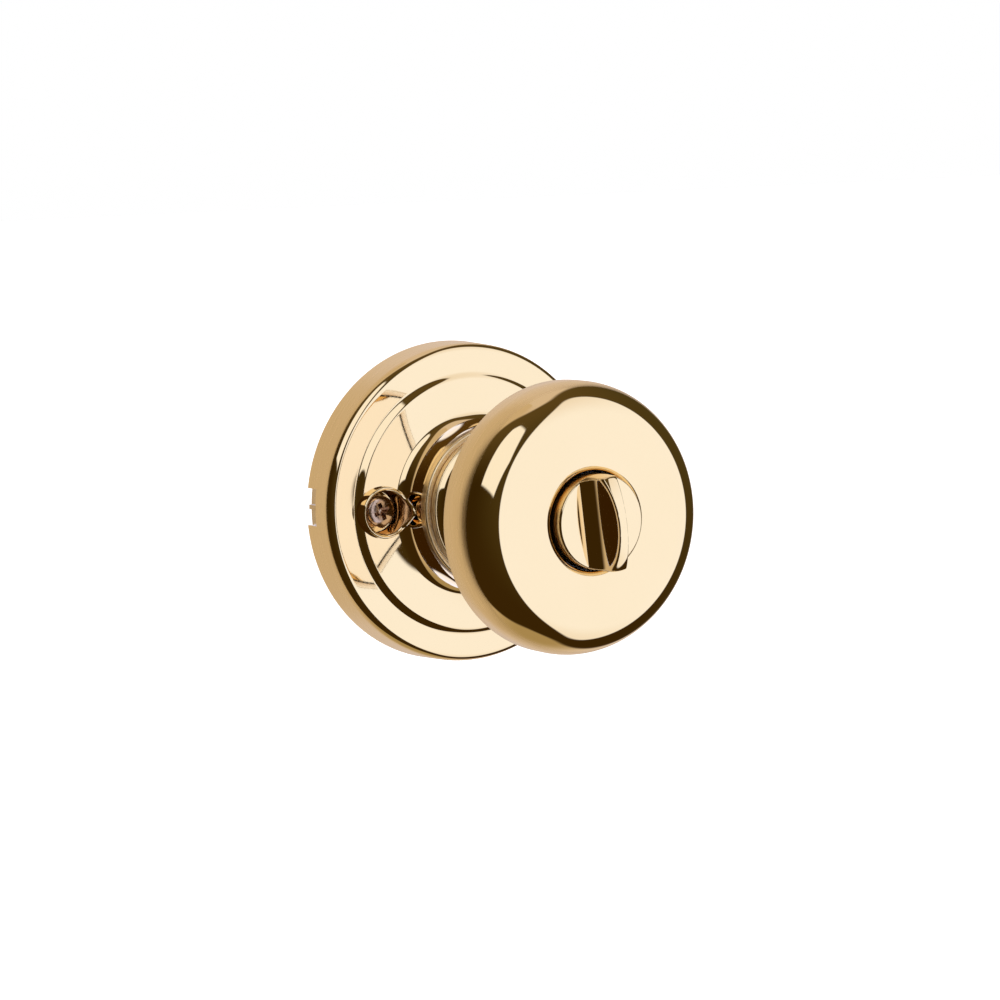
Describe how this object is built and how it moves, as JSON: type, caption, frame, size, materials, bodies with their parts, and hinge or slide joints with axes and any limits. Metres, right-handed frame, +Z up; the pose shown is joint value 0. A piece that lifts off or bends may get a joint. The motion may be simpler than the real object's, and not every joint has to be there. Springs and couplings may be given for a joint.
{
  "type": "door knob",
  "caption": "Round interior privacy door knob: stepped round rose with screw wells, waisted neck, drum knob with a turn button, and a channel spindle.",
  "frame": {"origin": "on the knob's axis, in the plane of the door's face where the rose's rim rests", "axes": "-Y out of the door along the knob's axis towards the user, +Y into the door along the spindle, +Z up, +X to the right as the user sees it"},
  "size_m": [0.065, 0.1111, 0.0652],
  "materials": {
    "polished_brass": "polished and lacquered",
    "zinc_plated_steel": "zinc plated",
    "bronzed_screw_steel": "bronzed",
    "spring_steel": "oiled",
    "cast_zinc": "as cast",
    "nylon": "moulded"
  },
  "bodies": {
    "rose_assembly": {"rose": "polished_brass", "mounting_plate": "zinc_plated_steel", "spring_cage": "zinc_plated_steel", "cage_rivet_top": "zinc_plated_steel", "cage_rivet_bottom": "zinc_plated_steel", "mounting_screw_left": "bronzed_screw_steel", "mounting_screw_right": "bronzed_screw_steel", "return_spring": "spring_steel", "rose_bushing": "nylon"},
    "knob": {"spring_driver": "zinc_plated_steel", "knob_shank": "zinc_plated_steel", "shank_pin": "zinc_plated_steel", "knob_core": "cast_zinc", "knob_face": "polished_brass", "knob_back": "polished_brass", "spindle": "zinc_plated_steel", "spindle_collar": "zinc_plated_steel", "thrust_washer": "nylon", "retaining_ring": "spring_steel", "wave_washer": "spring_steel"},
    "turn_button": {"turn_button": "polished_brass", "lock_bar": "zinc_plated_steel", "button_clip": "spring_steel"}
  },
  "joints": [
    {"name": "knob_turn", "type": "hinge", "parent": "rose_assembly", "child": "knob", "pos_m": [0, 0, 0], "axis": [0, -1, 0], "range_deg": [-50, 50], "stiffness_Nm_per_rad": 0.4, "deforming": ["return_spring"]},
    {"name": "button_turn", "type": "hinge", "parent": "knob", "child": "turn_button", "pos_m": [0, 0, 0], "axis": [0, -1, 0], "range_deg": [-90, 0]}
  ]
}
